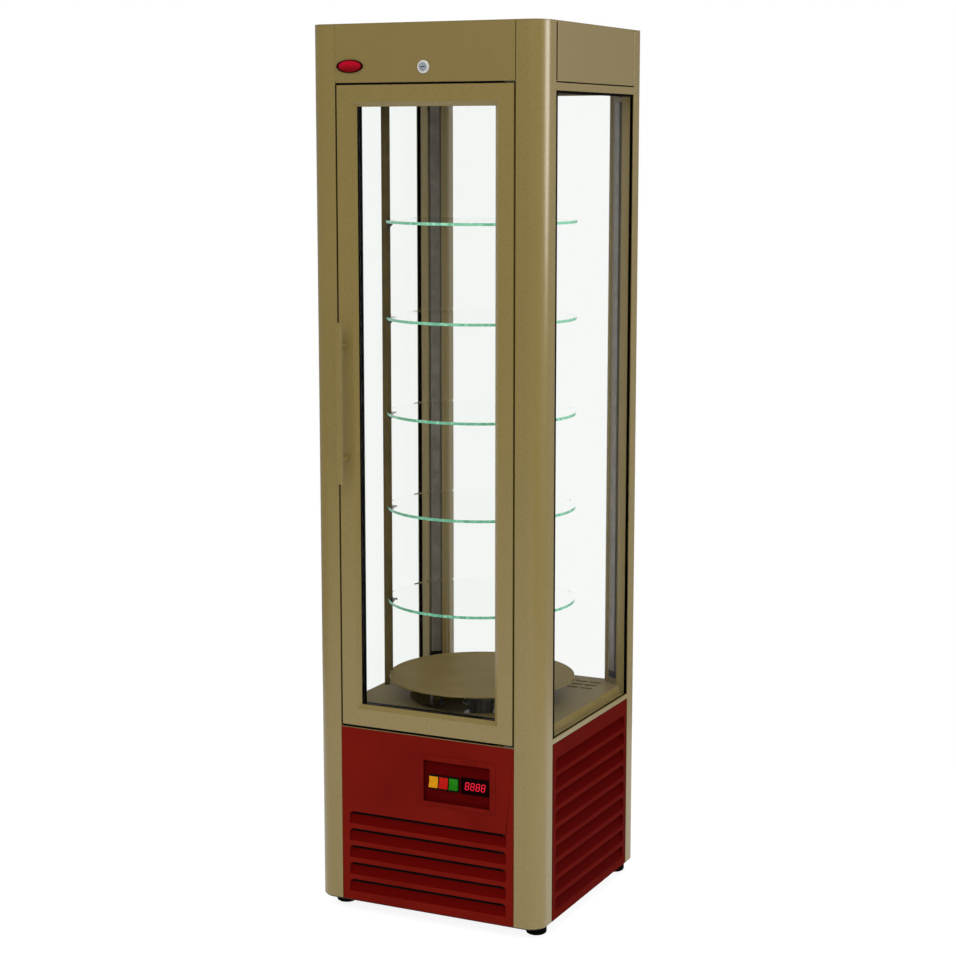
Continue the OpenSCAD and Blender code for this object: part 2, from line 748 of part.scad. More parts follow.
// Slotted channels that carry the shelves
module uprights() color("#6b5a33") translate([0, mid_y, 0]) for (a = upright_angles())
    rotate([0, 0, a]) difference() {
        union() {
            difference() {
                box([upright_in, -upright_w / 2, upright_low],
                    [upright_out, upright_w / 2, upright_high]);
                box([upright_in + sheet, -upright_w / 2 + sheet, upright_low - 1],
                    [upright_out + 1, upright_w / 2 - sheet, upright_high + 1]);
            }
            box([fin_in, -sheet, upright_low + 30], [upright_in + 1, sheet, upright_high - 10]);
        }
        for (z = [shelf_low - 2 * slot_pitch + 10:slot_pitch:upright_high - 20], side = [-1, 1])
            box([fin_in + 2, side > 0 ? slot_web : -3, z], [fin_in + 4, side > 0 ? 3 : -slot_web, z + 12]);
    }

// Small gussets under the shelves, straddling the fin of each upright
module shelf_brackets() color("#3b3426") translate([0, mid_y, 0])
    for (k = [0:shelf_count - 1], a = upright_angles()) rotate([0, 0, a])
        translate([0, 0, shelf_z(k) - shelf_t / 2]) difference() {
            union() {
                translate([0, 3.5, 0]) rotate([90, 0, 0]) linear_extrude(7)
                    polygon([[upright_in, 0], [upright_in, -17], [185, 0]]);
                box([183, -7, -2], [upright_in, 7, 0]);
            }
            box([fin_in - 0.5, -sheet, -30], [upright_in + 1, sheet, 1]);
        }

module glass_shelves() color("#bfead6", 0.4) translate([0, mid_y, 0])
    for (k = [0:shelf_count - 1]) difference() {
        translate([0, 0, shelf_z(k) - shelf_t / 2]) cylinder(r = shelf_r, h = shelf_t, $fn = 180);
        upright_notches(shelf_z(k) - shelf_t, shelf_z(k) + shelf_t);
    }

module top_spider() color("#6b5a33") translate([0, mid_y, upright_high]) {
    hub_proud = 1.5;
    translate([0, 0, -hub_proud]) cylinder(r = 28, h = spider_t + 2 * hub_proud);
    for (a = upright_angles()) rotate([0, 0, a])
        box([15, -upright_w / 2, 0], [upright_out, upright_w / 2, spider_t]);
    cylinder(r = top_pin_r, h = ceiling_z - upright_high + 14);
}

// Drive under the tub

module gear_motor() color("#74777b") translate([0, mid_y, 0]) difference() {
    union() {
        box([-60, -47, 364], [60, 47, 367]);
        for (x = [-52, 52], y = [-39, 39]) translate([x, y, 366])
            cylinder(r = 5, h = tub_floor - 4 - 366);
        translate([0, 0, 328]) cylinder(r = 42, h = 37);
        translate([0, 0, 262]) cylinder(r = 30, h = 67);
    }
    translate([0, 0, 350]) cylinder(r = motor_shaft_r + pin_gap, h = 30);
}

// Refrigeration and wiring

module compressor() color("#1f2226") translate([-105, mid_y + 95, 0]) {
    translate([0, 0, 56]) rotate_extrude()
        polygon(concat([[0, 0], [60, 0], [70, 8], [72, 30], [72, 100]],
            [for (a = [0:15:90]) [72 * cos(a), 100 + 50 * sin(a)]]));
    box([-85, -50, 52], [85, 50, 57]);
    for (x = [-60, 60], y = [-38, 38]) translate([x, y, body_bottom])
        cylinder(r = 11, h = 52 - body_bottom + 1);
}

module condenser() color("#9a7a55") translate([0, front_y, 0]) {
    difference() {
        box([-130, 42, body_bottom], [130, 72, 250]);
        for (x = [-121:11:121]) {
            box([x - 3.5, 41, body_bottom + 8], [x + 3.5, 52, 244]);
            box([x - 3.5, 62, body_bottom + 8], [x + 3.5, 73, 244]);
        }
    }
    difference() {
        box([-130, 72, body_bottom], [130, 76, 250]);
        translate([0, 0, 149]) cyl_y(88, 60, 100);
    }
    for (side = [-1, 1]) box([side * 100 - 4, 75, 130], [side * 100 + 4, 122, 168]);
    difference() {
        union() {
            box([-104, 118, 141], [104, 122, 157]);
            translate([0, 0, 149]) cyl_y(26, 104, 140);
        }
        translate([0, 0, 149]) cyl_y(4 + pin_gap, 90, 130);
    }
}

// Axial fan with slanted blades, drawn along Z from its hub
module axial_fan(r, hub, thick, blades) {
    cylinder(r = hub, h = thick);
    for (i = [0:blades - 1]) rotate([0, 0, 360 / blades * i])
        translate([hub - 2, 0, thick / 2]) rotate([32, 0, 0])
            box([0, -hub * 0.85, -1], [r - hub + 2, hub * 0.85, 1]);
}

module condenser_fan() color("#2b2e33") translate([0, front_y + 80, 149]) rotate([-90, 0, 0]) {
    axial_fan(80, 20, 20, 5);
    cylinder(r = 4, h = 44);
}

module evaporator_housing() color("#a9adb0") translate([0, mid_y, 0]) {
    wall = 2;
    difference() {
        union() {
            box([-150, 52, housing_low], [206, 226, housing_top]);
            box([duct[0][0], duct[0][1], housing_top - 1], [duct[1][0], duct[1][1], deck_low]);
        }
        box([-150 + wall, 52 + wall, housing_low + wall],
            [206 - wall, 226 - wall, housing_top - wall]);
        box([duct[0][0] + wall, duct[0][1] + wall, housing_top - 5],
            [duct[1][0] - wall, duct[1][1] - wall, deck_low + 1]);
        translate([fan_hole[0], fan_hole[1], housing_top - 5]) cylinder(r = fan_hole_r, h = 20);
    }
    translate([fan_hole[0], fan_hole[1], housing_low + 1]) difference() {
        cylinder(r = 24, h = 50);
        translate([0, 0, 29]) cylinder(r = 3 + pin_gap, h = 40);
    }
}

module evaporator_coil() color("#b9bcc0") translate([0, mid_y, 0]) difference() {
    box([70, 62, housing_low + 2], [200, 218, 376]);
    for (x = [78:10:192]) {
        box([x - 3, 61, housing_low + 8], [x + 3, 219, 338]);
        box([x - 3, 61, 344], [x + 3, 219, 377]);
    }
}

module evaporator_fan() color("#2b2e33") translate([fan_hole[0], mid_y + fan_hole[1], 358]) {
    axial_fan(40, 15, 16, 5);
    translate([0, 0, -24]) cylinder(r = 3, h = 26);
}

module electrical_box() color("#b6b9bc") translate([0, mid_y, 0]) {
    box([92, -70, body_bottom], [172, 50, 190]);
    box([90, -72, 190], [174, 52, 193]);
}

module power_inlet() color("#141416") on_face(180) translate([-150, 0, 76]) difference() {
    union() {
        box([-26, 0, -13], [26, 30, 13]);
        box([-30, sheet, -16], [30, sheet + 2, 16]);
    }
    box([-14, -1, -9], [14, 18, 9]);
}

// Copper lines between the compressor, the condenser and the evaporator
module tube_run(points, r) {
    for (i = [0:len(points) - 2]) {
        a = points[i];
        run = points[i + 1] - a;
        translate(a) rotate([0, acos(run[2] / norm(run)), atan2(run[1], run[0])])
            cylinder(r = r, h = norm(run), $fn = 24);
    }
    for (i = [1:len(points) - 2]) translate(points[i]) sphere(r = r + 0.8, $fn = 24);
}

module pipework() color("#b87333") {
    top_z = housing_low - 0.5;
    tube_run([[-105, mid_y + 22.7, 120], [-105, mid_y - 10, 120], [-105, mid_y - 10, 240],
        [-105, front_y + 76.5, 240]], 4);
    tube_run([[105, front_y + 76.5, 70], [105, mid_y - 100, 70], [60, mid_y - 100, 70],
        [60, mid_y + 80, 70], [60, mid_y + 80, top_z]], 3);
    tube_run([[-60, mid_y + 95, 198], [-60, mid_y + 95, top_z]], 5);
}

base_frame();
levelling_foot(false, false);  // foot_front_left
levelling_foot(true, false);  // foot_front_right
levelling_foot(false, true);  // foot_rear_left
levelling_foot(true, true);  // foot_rear_right
pillar(false, false);  // pillar_front_left
pillar(true, false);  // pillar_front_right
pillar(false, true);  // pillar_rear_left
pillar(true, true);  // pillar_rear_right
lamp_strips();
glazing_rails();
door_landing();
front_fascia();
side_fascias();
roof_panel();
ceiling_panel();
left_glass();
right_glass();
rear_glass();
glazing_seals();
door_frame();
door_glass();
door_spacer();
door_bead();
door_gasket();
door_handle();
door_hinges();
lock_barrel();
lock_plug();
badge_plate();
front_panel();
left_panel();
right_panel();
rear_panel();
control_bezel();
switch_housings();
yellow_switch();
red_switch();
green_switch();
display();
deck_pan();
glide_posts();
turntable_disc();
carousel_shaft();
shaft_coupling();
uprights();
shelf_brackets();
glass_shelves();
top_spider();
bearing_block();
gear_motor();
compressor();
condenser();
condenser_fan();
evaporator_housing();
evaporator_coil();
evaporator_fan();
electrical_box();
power_inlet();
pipework();
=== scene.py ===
import math

import bmesh
import bpy
from mathutils import Matrix, Vector


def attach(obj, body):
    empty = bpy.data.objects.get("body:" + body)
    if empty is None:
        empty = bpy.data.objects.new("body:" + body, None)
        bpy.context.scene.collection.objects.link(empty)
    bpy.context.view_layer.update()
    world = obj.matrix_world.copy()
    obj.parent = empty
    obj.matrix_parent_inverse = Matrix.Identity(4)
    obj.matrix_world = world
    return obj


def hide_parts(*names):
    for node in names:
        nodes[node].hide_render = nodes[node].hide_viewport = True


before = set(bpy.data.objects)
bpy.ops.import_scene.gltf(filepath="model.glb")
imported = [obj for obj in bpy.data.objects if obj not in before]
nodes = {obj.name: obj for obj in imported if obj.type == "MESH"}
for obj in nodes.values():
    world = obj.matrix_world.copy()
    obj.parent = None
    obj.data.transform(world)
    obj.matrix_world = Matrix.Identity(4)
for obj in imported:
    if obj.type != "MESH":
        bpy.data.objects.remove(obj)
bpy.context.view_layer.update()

# A refrigerated pastry display case: bronze hammertone profiles, deep red louvred panels and a
# glass chamber with five turning shelves. Everything is in metres, in the frame of the CAD.
MM = 0.001


def mm(*values):
    """A point or size given in millimetres, in metres."""
    return Vector(values) * MM


# Camera

camera_data = bpy.data.cameras.new("camera")
camera_data.sensor_width = 36
camera_data.lens = 79.54
camera = bpy.data.objects.new("camera", camera_data)
camera.location = mm(1957.5, -4052.9, 1635.1)
camera.rotation_euler = (math.radians(90 - 8.985), 0, math.radians(25.776))
bpy.context.scene.collection.objects.link(camera)
bpy.context.scene.camera = camera

# Node helper


def add(tree, kind, inputs=None, **settings):
    """Adds a node with its settings; an input is a value or the socket that feeds it."""
    node = tree.nodes.new(kind)
    for name, value in settings.items():
        setattr(node, name, value)
    for socket, value in (inputs or {}).items():
        if isinstance(value, bpy.types.NodeSocket):
            tree.links.new(value, node.inputs[socket])
        else:
            node.inputs[socket].default_value = value
    return node


def linear(code):
    """An sRGB hex colour as linear RGBA."""
    channels = [int(code[i:i + 2], 16) / 255 for i in (1, 3, 5)]
    return tuple(c / 12.92 if c <= 0.04045 else ((c + 0.055) / 1.055) ** 2.4
                 for c in channels) + (1.0,)


def per_mm(size):
    """Noise scale whose cells are about size millimetres, for coordinates in metres."""
    return 1 / (size * MM)


def empty_material(name):
    made = bpy.data.materials.new(name)
    made.use_nodes = True
    made.node_tree.nodes.clear()
    return made, made.node_tree


def show(tree, shader):
    add(tree, "ShaderNodeOutputMaterial", {"Surface": shader})


def place(tree):
    return add(tree, "ShaderNodeTexCoord").outputs["Object"]


def blend_colours(tree, factor, first, second):
    """Mix of two hex colours or colour sockets by a factor socket."""
    mix = add(tree, "ShaderNodeMix", {"Factor": factor}, data_type="RGBA")
    for socket, colour in ((mix.inputs[6], first), (mix.inputs[7], second)):
        if isinstance(colour, bpy.types.NodeSocket):
            tree.links.new(colour, socket)
        else:
            socket.default_value = linear(colour)
    return mix.outputs[2]


def spread(tree, value, low, high, to_low, to_high):
    """A value socket carried from one range to another, held inside it."""
    return add(tree, "ShaderNodeMapRange", {
        "Value": value, "From Min": low, "From Max": high,
        "To Min": to_low, "To Max": to_high}).outputs["Result"]


# Materials


def hammertone(name, light, dark, rough, index=1.6, grain=1.9):
    """Hammertone powder coat, bronze flake under a clear binder, baked on aluminium: an even
    colour face-on, small smooth dimples that break each highlight into specks, and a white
    sheen at a low angle. The dimples are about 1 mm on the real coat and are drawn at 1.9 mm,
    so that they show."""
    made, tree = empty_material(name)
    at = place(tree)
    cells = add(tree, "ShaderNodeTexVoronoi", {"Vector": at, "Scale": per_mm(grain)},
                feature="SMOOTH_F1")
    cloud = add(tree, "ShaderNodeTexNoise", {
        "Vector": at, "Scale": per_mm(grain * 0.7), "Detail": 3.0, "Roughness": 0.6})
    wide = add(tree, "ShaderNodeTexNoise", {"Vector": at, "Scale": per_mm(180), "Detail": 2.0})
    dimple = add(tree, "ShaderNodeMath", {0: cells.outputs["Distance"], 1: cloud.outputs["Fac"]},
                 operation="MULTIPLY")
    grainy = blend_colours(tree, spread(tree, cloud.outputs["Fac"], 0.35, 0.65, 0.0, 1.0),
                           dark, light)
    toned = blend_colours(tree, spread(tree, wide.outputs["Fac"], 0.4, 0.6, 0.0, 0.2),
                          grainy, dark)
    bump = add(tree, "ShaderNodeBump", {
        "Height": dimple.outputs["Value"], "Strength": 0.6, "Distance": 0.22 * MM})
    base = add(tree, "ShaderNodeBsdfPrincipled", {
        "Base Color": toned, "IOR": index,
        "Roughness": spread(tree, cloud.outputs["Fac"], 0.3, 0.7, rough - 0.06, rough + 0.08),
        "Normal": bump.outputs["Normal"]})
    show(tree, base.outputs["BSDF"])
    return made


def powder_coat(name, light, dark, rough, index=1.5, peel=1.6, depth=0.05, tilted_shade=None,
                skirt_shade=None):
    """Smooth powder coat on steel sheet: even colour under a faint orange peel. The peel is
    finer than 1 mm on the real sheet and is drawn at 1.6 mm. A low index holds down the gloss.
    Faces that tilt up, as the pressed faces of the louvres do, carry a darker colour of painted
    shade, and the folded sides of a flat sheet may carry a painted shade colour of their own."""
    made, tree = empty_material(name)
    at = place(tree)
    peel_noise = add(tree, "ShaderNodeTexNoise", {
        "Vector": at, "Scale": per_mm(peel), "Detail": 2.0})
    wide = add(tree, "ShaderNodeTexNoise", {
        "Vector": at, "Scale": per_mm(140), "Detail": 3.0, "Roughness": 0.55})
    colour = blend_colours(tree, spread(tree, wide.outputs["Fac"], 0.35, 0.65, 0.0, 1.0),
                           dark, light)
    # Painted shade chosen by the way each face points: faces that tilt up turn darker, and a
    # folded side takes a painted shade colour
    if tilted_shade or skirt_shade:
        facing = add(tree, "ShaderNodeSeparateXYZ", {
            0: add(tree, "ShaderNodeNewGeometry").outputs["True Normal"]})
    if tilted_shade:
        colour = blend_colours(tree, spread(tree, facing.outputs["Z"], 0.15, 0.3, 0.0, 1.0),
                               colour, tilted_shade)
    if skirt_shade:
        colour = blend_colours(tree, spread(tree, facing.outputs["Z"], 0.1, 0.2, 0.0, 1.0),
                               skirt_shade, colour)
    bump = add(tree, "ShaderNodeBump", {
        "Height": peel_noise.outputs["Fac"], "Strength": 0.35, "Distance": depth * MM})
    base = add(tree, "ShaderNodeBsdfPrincipled", {
        "Base Color": colour, "IOR": index,
        "Roughness": spread(tree, peel_noise.outputs["Fac"], 0.3, 0.7, rough - 0.05, rough + 0.06),
        "Normal": bump.outputs["Normal"]})
    show(tree, base.outputs["BSDF"])
    return made


def moulded(name, light, dark, rough, index=1.5, grain=0.9, depth=0.03, coat=0.0, inside=None):
    """Moulded plastic or rubber: a fine spark-eroded grain from the tool, drawn at 0.9 mm. A
    recess that is darker than its frame carries the inside colour, which is painted shade."""
    made, tree = empty_material(name)
    at = place(tree)
    fine = add(tree, "ShaderNodeTexNoise", {
        "Vector": at, "Scale": per_mm(grain), "Detail": 4.0, "Roughness": 0.65})
    wide = add(tree, "ShaderNodeTexNoise", {"Vector": at, "Scale": per_mm(25), "Detail": 2.0})
    colour = blend_colours(tree, spread(tree, wide.outputs["Fac"], 0.35, 0.65, 0.0, 1.0),
                           dark, light)
    # Painted shade: the deeper part of the piece turns to the inside colour
    if inside:
        deep = add(tree, "ShaderNodeSeparateXYZ", {
            0: add(tree, "ShaderNodeTexCoord").outputs["Generated"]})
        colour = blend_colours(tree, spread(tree, deep.outputs["Y"], 0.15, 0.25, 0.0, 1.0),
                               colour, inside)
    bump = add(tree, "ShaderNodeBump", {
        "Height": fine.outputs["Fac"], "Strength": 0.4, "Distance": depth * MM})
    base = add(tree, "ShaderNodeBsdfPrincipled", {
        "Base Color": colour, "IOR": index, "Coat Weight": coat, "Coat Roughness": 0.08,
        "Roughness": spread(tree, fine.outputs["Fac"], 0.3, 0.7, rough - 0.06, rough + 0.08),
        "Normal": bump.outputs["Normal"]})
    show(tree, base.outputs["BSDF"])
    return made


def bare_metal(name, light, dark, rough, grain=(0.6, 0.6, 40), depth=0.02, metal=1.0):
    """Bare metal: a grain stretched along one axis where it was brushed or drawn, else cast.
    Grain sizes are in millimetres along X, Y and Z. A lower metal value dulls the mirroring."""
    made, tree = empty_material(name)
    stretch = add(tree, "ShaderNodeMapping", {"Vector": place(tree)})
    stretch.inputs["Scale"].default_value = tuple(per_mm(size) for size in grain)
    lines = add(tree, "ShaderNodeTexNoise", {
        "Vector": stretch.outputs["Vector"], "Scale": 1.0, "Detail": 3.0, "Roughness": 0.6})
    colour = blend_colours(tree, spread(tree, lines.outputs["Fac"], 0.3, 0.7, 0.0, 1.0),
                           dark, light)
    bump = add(tree, "ShaderNodeBump", {
        "Height": lines.outputs["Fac"], "Strength": 0.4, "Distance": depth * MM})
    base = add(tree, "ShaderNodeBsdfPrincipled", {
        "Base Color": colour, "Metallic": metal,
        "Roughness": spread(tree, lines.outputs["Fac"], 0.3, 0.7, rough - 0.08, rough + 0.1),
        "Normal": bump.outputs["Normal"]})
    show(tree, base.outputs["BSDF"])
    return made


def clear_for_lamps(tree, shader, passes=0.94):
    """Glass as a camera sees it, that lets part of the lamps' and the room's light through to
    what stands behind it."""
    path = add(tree, "ShaderNodeLightPath")
    lighting = add(tree, "ShaderNodeMath", {
        0: path.outputs["Is Shadow Ray"], 1: path.outputs["Is Diffuse Ray"]},
        operation="MAXIMUM")
    clear = add(tree, "ShaderNodeBsdfTransparent", {"Color": (passes, passes, passes, 1)})
    mix = add(tree, "ShaderNodeMixShader", {
        0: lighting.outputs["Value"], 1: shader, 2: clear.outputs["BSDF"]})
    return mix.outputs["Shader"]


def float_glass(name, tint):
    """Float glass, flat and polished. Its index is set near that of air, so that it mirrors
    almost nothing, and it greys a white slightly."""
    made, tree = empty_material(name)
    smears = add(tree, "ShaderNodeTexNoise", {
        "Vector": place(tree), "Scale": per_mm(220), "Detail": 2.0})
    base = add(tree, "ShaderNodeBsdfPrincipled", {
        "Base Color": linear(tint), "IOR": 1.05, "Transmission Weight": 1.0,
        "Roughness": spread(tree, smears.outputs["Fac"], 0.45, 0.75, 0.0, 0.012)})
    show(tree, clear_for_lamps(tree, base.outputs["BSDF"]))
    return made


def toughened_glass(name, tint, edge_light, edge_dark):
    """Toughened shelf glass with ground edges, which look mint green and carry a faint painted
    glow.
    """
    made, tree = empty_material(name)
    at = place(tree)
    facing = add(tree, "ShaderNodeSeparateXYZ", {
        0: add(tree, "ShaderNodeNewGeometry").outputs["Normal"]})
    upright = add(tree, "ShaderNodeMath", {0: facing.outputs["Z"]}, operation="ABSOLUTE")
    standing = spread(tree, upright.outputs["Value"], 0.35, 0.75, 1.0, 0.0)
    from_outside = add(tree, "ShaderNodeMath", {
        0: 1.0, 1: add(tree, "ShaderNodeNewGeometry").outputs["Backfacing"]},
        operation="SUBTRACT")
    is_edge = add(tree, "ShaderNodeMath", {0: standing, 1: from_outside.outputs["Value"]},
                  operation="MULTIPLY").outputs["Value"]
    grind = add(tree, "ShaderNodeTexNoise", {"Vector": at, "Scale": per_mm(9), "Detail": 2.0})
    edge_colour = blend_colours(tree, spread(tree, grind.outputs["Fac"], 0.35, 0.65, 0.0, 1.0),
                                edge_dark, edge_light)
    face = add(tree, "ShaderNodeBsdfPrincipled", {
        "Base Color": linear(tint), "IOR": 1.05, "Transmission Weight": 1.0,
        "Roughness": 0.0})
    # Painted glow: the ground edge emits a little of its own mint colour
    rim = add(tree, "ShaderNodeBsdfPrincipled", {
        "Base Color": edge_colour, "IOR": 1.45, "Transmission Weight": 0.2,
        "Emission Color": edge_colour, "Emission Strength": 0.15,
        "Roughness": spread(tree, grind.outputs["Fac"], 0.3, 0.7, 0.18, 0.3)})
    both = add(tree, "ShaderNodeMixShader", {
        0: is_edge, 1: face.outputs["BSDF"], 2: rim.outputs["BSDF"]})
    show(tree, clear_for_lamps(tree, both.outputs["Shader"]))
    return made


def badge_enamel(name, upper, lower, rim):
    """Crimson enamel, darker towards its foot, with a dark edge."""
    made, tree = empty_material(name)
    across = add(tree, "ShaderNodeSeparateXYZ", {
        0: add(tree, "ShaderNodeTexCoord").outputs["Generated"]})
    grain = add(tree, "ShaderNodeTexNoise", {"Vector": place(tree), "Scale": per_mm(3)})
    out = None
    for axis in ("X", "Z"):
        half = spread(tree, across.outputs[axis], 0.0, 1.0, -1.0, 1.0)
        squared = add(tree, "ShaderNodeMath", {0: half, 1: 2.0}, operation="POWER")
        out = squared.outputs["Value"] if out is None else add(
            tree, "ShaderNodeMath", {0: out, 1: squared.outputs["Value"]}).outputs["Value"]
    face = blend_colours(tree, spread(tree, across.outputs["Z"], 0.25, 0.7, 0.0, 1.0),
                         lower, upper)
    toned = blend_colours(tree, spread(tree, out, 0.66, 0.76, 0.0, 1.0), face, rim)
    base = add(tree, "ShaderNodeBsdfPrincipled", {
        "Base Color": toned, "IOR": 1.2,
        "Roughness": spread(tree, grain.outputs["Fac"], 0.3, 0.7, 0.16, 0.26)})
    show(tree, base.outputs["BSDF"])
    return made


def led_segments(name, colour, strength):
    """Lit segments of a numeric LED display behind smoked acrylic."""
    made, tree = empty_material(name)
    dots = add(tree, "ShaderNodeTexNoise", {"Vector": place(tree), "Scale": per_mm(1.5)})
    glow = blend_colours(tree, dots.outputs["Fac"], colour, "#e0203c")
    base = add(tree, "ShaderNodeBsdfPrincipled", {
        "Base Color": glow, "Emission Color": glow, "Emission Strength": strength,
        "IOR": 1.2, "Roughness": 0.4})
    show(tree, base.outputs["BSDF"])
    return made


finish = {
    "bronze_profile": hammertone("hammertone_bronze_profile", "#826f3c", "#766634", 0.30),
    "bronze_sheet": hammertone("hammertone_bronze_sheet", "#7f6d3b", "#746432", 0.32),
    "bronze_dark": powder_coat("matt_bronze_powder_coat", "#7f6f45", "#73633b", 0.42, index=1.09),
    "dark_bracket": powder_coat("dark_bronze_powder_coat", "#3c3426", "#2c261b", 0.42),
    # Painted shade: the pressed louvre faces, which tilt up, are a darker red
    "red_sheet": powder_coat("deep_red_powder_coat", "#6a150e", "#63120c", 0.45, index=1.03,
                             tilted_shade="#540604"),
    # Painted shade: the bezel's recess is darker than its frame
    "red_bezel": moulded("deep_red_abs", "#68140e", "#60110b", 0.42, index=1.03,
                         inside="#4a0404"),
    "badge_red": badge_enamel("crimson_enamel", "#a00820", "#6c070d", "#240305"),
    "clear_glass": float_glass("coated_float_glass", "#fbfcfb"),
    "shelf_glass": toughened_glass("toughened_shelf_glass", "#fdfefd", "#86cfac", "#62b18b"),
    "seal_rubber": moulded("epdm_seal_rubber", "#0b0b0c", "#070708", 0.7, index=1.06),
    "black_rubber": moulded("black_foot_rubber", "#0a0b0a", "#080808", 0.6, index=1.04),
    "black_plastic": moulded("black_abs", "#0c0c0d", "#080809", 0.45, index=1.12),
    "black_steel": powder_coat("black_enamel_on_steel", "#161618", "#101012", 0.38, index=1.3),
    "bare_steel": bare_metal("brushed_steel", "#a9a9a6", "#838381", 0.32),
    "cast_housing": bare_metal("die_cast_aluminium", "#8e9093", "#75777b", 0.55,
                               grain=(1.2, 1.2, 1.2), depth=0.08),
    "lock_chrome": bare_metal("satin_chrome_plate", "#dcdbd6", "#cccbc6", 0.40,
                              grain=(3, 3, 3), depth=0.004, metal=0.35),
    "yellow_plastic": moulded("yellow_polycarbonate", "#c68811", "#b87a0c", 0.26, index=1.12),
    "red_plastic": moulded("red_polycarbonate", "#b81a10", "#a0120a", 0.26, index=1.12),
    "green_plastic": moulded("green_polycarbonate", "#1f7410", "#18600c", 0.26, index=1.12),
    "display_black": moulded("smoked_acrylic", "#120102", "#0b0001", 0.3, index=1.06),
    "lamp_diffuser": moulded("smoked_polycarbonate", "#6c6458", "#5b5449", 0.28, index=1.6,
                            coat=0.6),
    "fin_aluminium": bare_metal("mill_finish_fins", "#b4b5b7", "#97989b", 0.38,
                                grain=(1.5, 30, 30)),
    "galvanised_sheet": bare_metal("galvanised_steel", "#a3a7aa", "#878b8f", 0.46,
                                   grain=(9, 9, 9)),
    "grey_plastic": moulded("light_grey_abs", "#b4b6b8", "#a5a7aa", 0.42),
    "copper_tube": bare_metal("drawn_copper_tube", "#c98a62", "#a86c48", 0.34),
}
# Painted shade: the side panels take a darker copy of the deep red, with darker pressed faces too
side_panel_shaded_coat = powder_coat("deep_red_side_shaded_coat", "#5a0e08", "#530c07", 0.45, index=1.03,
                              tilted_shade="#470302")
# Finishes of single parts, set by how light or dark each one looks and not by a paint of its
# own. The side panels, the ceiling and the uprights carry painted shade: the side panels are a
# deeper red than the front, the ceiling and the uprights are darker than the frame. The turntable
# and the floor pan are matter, the floor pan's folded edge carries painted shade, and the lock's
# plug is darker than its ring
own_finish = {
    "left_panel": side_panel_shaded_coat,
    "right_panel": side_panel_shaded_coat,
    "ceiling_panel": powder_coat("ceiling_shaded_coat", "#54472a", "#4a3e24", 0.6, index=1.01),
    "deck_pan": powder_coat("deck_coat_with_shaded_fold", "#82734a", "#766740", 0.42, index=1.09,
                            skirt_shade="#7f6d38"),
    "uprights": powder_coat("upright_shaded_coat", "#65562f", "#584a28", 0.45, index=1.25),
    "turntable_disc": powder_coat("matt_turntable_coat", "#85744a", "#77673e", 0.42, index=1.05),
    "lock_plug": bare_metal("dull_zinc_plug", "#a3a8b2", "#8b909b", 0.42,
                            grain=(3, 3, 3), metal=0.35),
}
digit_red = led_segments("led_segments", "#c80f22", 0.55)

for cad_object in nodes.values():
    for place_for in cad_object.material_slots:
        slot_name = place_for.material.name.split(".")[0] if place_for.material else ""
        if slot_name in finish:
            place_for.material = own_finish.get(cad_object.name, finish[slot_name])

# Softened CAD edges


def soften(name, width, segments=2, angle=32):
    """Rounds the sharp edges of a CAD node by modifiers, as a radius of width millimetres."""
    shape = nodes[name]
    mesh = shape.data
    if "custom_normal" in mesh.attributes:
        mesh.attributes.remove(mesh.attributes["custom_normal"])
    mesh.shade_smooth()
    weld = shape.modifiers.new("weld", "WELD")
    weld.merge_threshold = 1e-5
    bevel = shape.modifiers.new("edge_radius", "BEVEL")
    bevel.width = width * MM
    bevel.segments = segments
    bevel.limit_method = "ANGLE"
    bevel.angle_limit = math.radians(angle)
    bevel.use_clamp_overlap = True
    even = shape.modifiers.new("even_shading", "WEIGHTED_NORMAL")
    even.keep_sharp = True


edge_radius = {
    "pillar_front_left": 0.8, "pillar_front_right": 0.8, "pillar_rear_left": 0.8,
    "pillar_rear_right": 0.8, "door_frame": 1.0, "front_fascia": 0.7, "side_fascias": 0.7,
    "roof_panel": 0.6, "base_frame": 0.6, "glazing_rails": 0.6, "deck_pan": 1.8,
    "door_handle": 1.8, "front_panel": 0.5, "left_panel": 0.5, "right_panel": 0.5,
    "rear_panel": 0.5, "control_bezel": 0.6, "yellow_switch": 0.8, "red_switch": 0.8,
    "green_switch": 0.8, "switch_housings": 0.5, "display": 0.5, "turntable_disc": 0.5,
    "uprights": 0.4, "shelf_brackets": 0.5, "lock_barrel": 0.4, "lock_plug": 0.25,
    "glide_posts": 0.5, "badge_plate": 0.5,
}
for softened, radius in edge_radius.items():
    soften(softened, radius)

# Studio


def sheet_object(name, corners, material):
    mesh = bpy.data.meshes.new(name)
    mesh.from_pydata([tuple(c) for c in corners], [], [tuple(range(len(corners)))])
    mesh.materials.append(material)
    made = bpy.data.objects.new(name, mesh)
    bpy.context.scene.collection.objects.link(made)
    return made


def seen_directly(tree):
    """1 where the camera sees a surface itself, in a mirror or through glass, else 0."""
    path = add(tree, "ShaderNodeLightPath")
    seen = path.outputs["Is Camera Ray"]
    for kind in ("Is Glossy Ray", "Is Transmission Ray"):
        seen = add(tree, "ShaderNodeMath", {0: seen, 1: path.outputs[kind]},
                   operation="MAXIMUM").outputs["Value"]
    lit_by = add(tree, "ShaderNodeMath", {0: path.outputs["Diffuse Depth"], 1: 0.5},
                 operation="LESS_THAN")
    return add(tree, "ShaderNodeMath", {0: seen, 1: lit_by.outputs["Value"]},
               operation="MULTIPLY").outputs["Value"]


